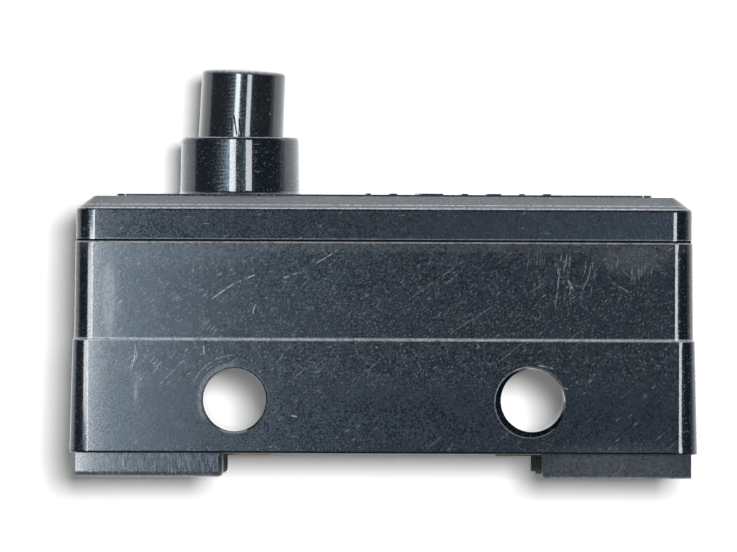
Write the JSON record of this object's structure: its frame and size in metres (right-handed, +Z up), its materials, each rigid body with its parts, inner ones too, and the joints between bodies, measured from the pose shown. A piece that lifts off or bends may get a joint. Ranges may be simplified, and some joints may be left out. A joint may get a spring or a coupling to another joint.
{
  "type": "pushbutton switch",
  "caption": "Snap-action pushbutton switch in a moulded case with a chamfered cover, a collared button, side-to-side mounting holes and screw terminals underneath.",
  "frame": {"origin": "under the middle of the case, on the plane its feet stand on", "axes": "+X along the case, away from the button's end; -Y out of the front face; +Z up the button"},
  "size_m": [0.0528, 0.0182, 0.0345],
  "materials": {
    "case_black": "moulded black phenolic, glossy with fine rub marks",
    "cover_black": "moulded black phenolic, glossy",
    "button_black": "turned and polished black phenolic",
    "pin_plastic": "natural glass-filled nylon",
    "guide_brown": "brown phenolic",
    "spring_steel": "drawn spring steel",
    "blade_copper": "beryllium copper strip, satin",
    "contact_silver": "silver alloy, satin",
    "strip_brass": "rolled brass strip, satin",
    "plated_steel": "zinc-plated steel"
  },
  "bodies": {
    "case": {"housing": "case_black", "cover": "cover_black", "plunger_guide": "guide_brown", "blade_anchor": "strip_brass", "nc_arm": "strip_brass", "nc_contact": "contact_silver", "no_arm": "strip_brass", "no_contact": "contact_silver", "com_terminal": "strip_brass", "nc_terminal": "strip_brass", "no_terminal": "strip_brass", "terminal_screws": "plated_steel", "lock_washers": "plated_steel", "cover_screws": "plated_steel"},
    "button": {"button": "button_black", "retaining_ring": "spring_steel"},
    "pin": {"actuating_pin": "pin_plastic", "overtravel_spring": "spring_steel"},
    "blade": {"snap_blade": "blade_copper", "moving_contact": "contact_silver", "anchor_rivet": "strip_brass"}
  },
  "joints": [
    {"name": "button_slide", "type": "slide", "parent": "case", "child": "button", "axis": [-0.0419, 0, -0.9991], "range_m": [0, 0.0024], "stiffness_N_per_m": 1200, "springref_m": -0.001, "deforming": ["overtravel_spring"]},
    {"name": "pin_slide", "type": "slide", "parent": "case", "child": "pin", "axis": [-0.0419, 0, -0.9991], "range_m": [0, 0.0001588]},
    {"name": "blade_rock", "type": "hinge", "parent": "case", "child": "blade", "pos_m": [-0.0182, 0, 0.0142], "axis": [0, 1, 0], "range_deg": [0, 1.68]}
  ],
  "couplings": [
    {"joint": "pin_slide", "follows": "button_slide", "ratio": 0.066143},
    {"joint": "blade_rock", "follows": "button_slide", "rad_per_m": 12.183}
  ]
}
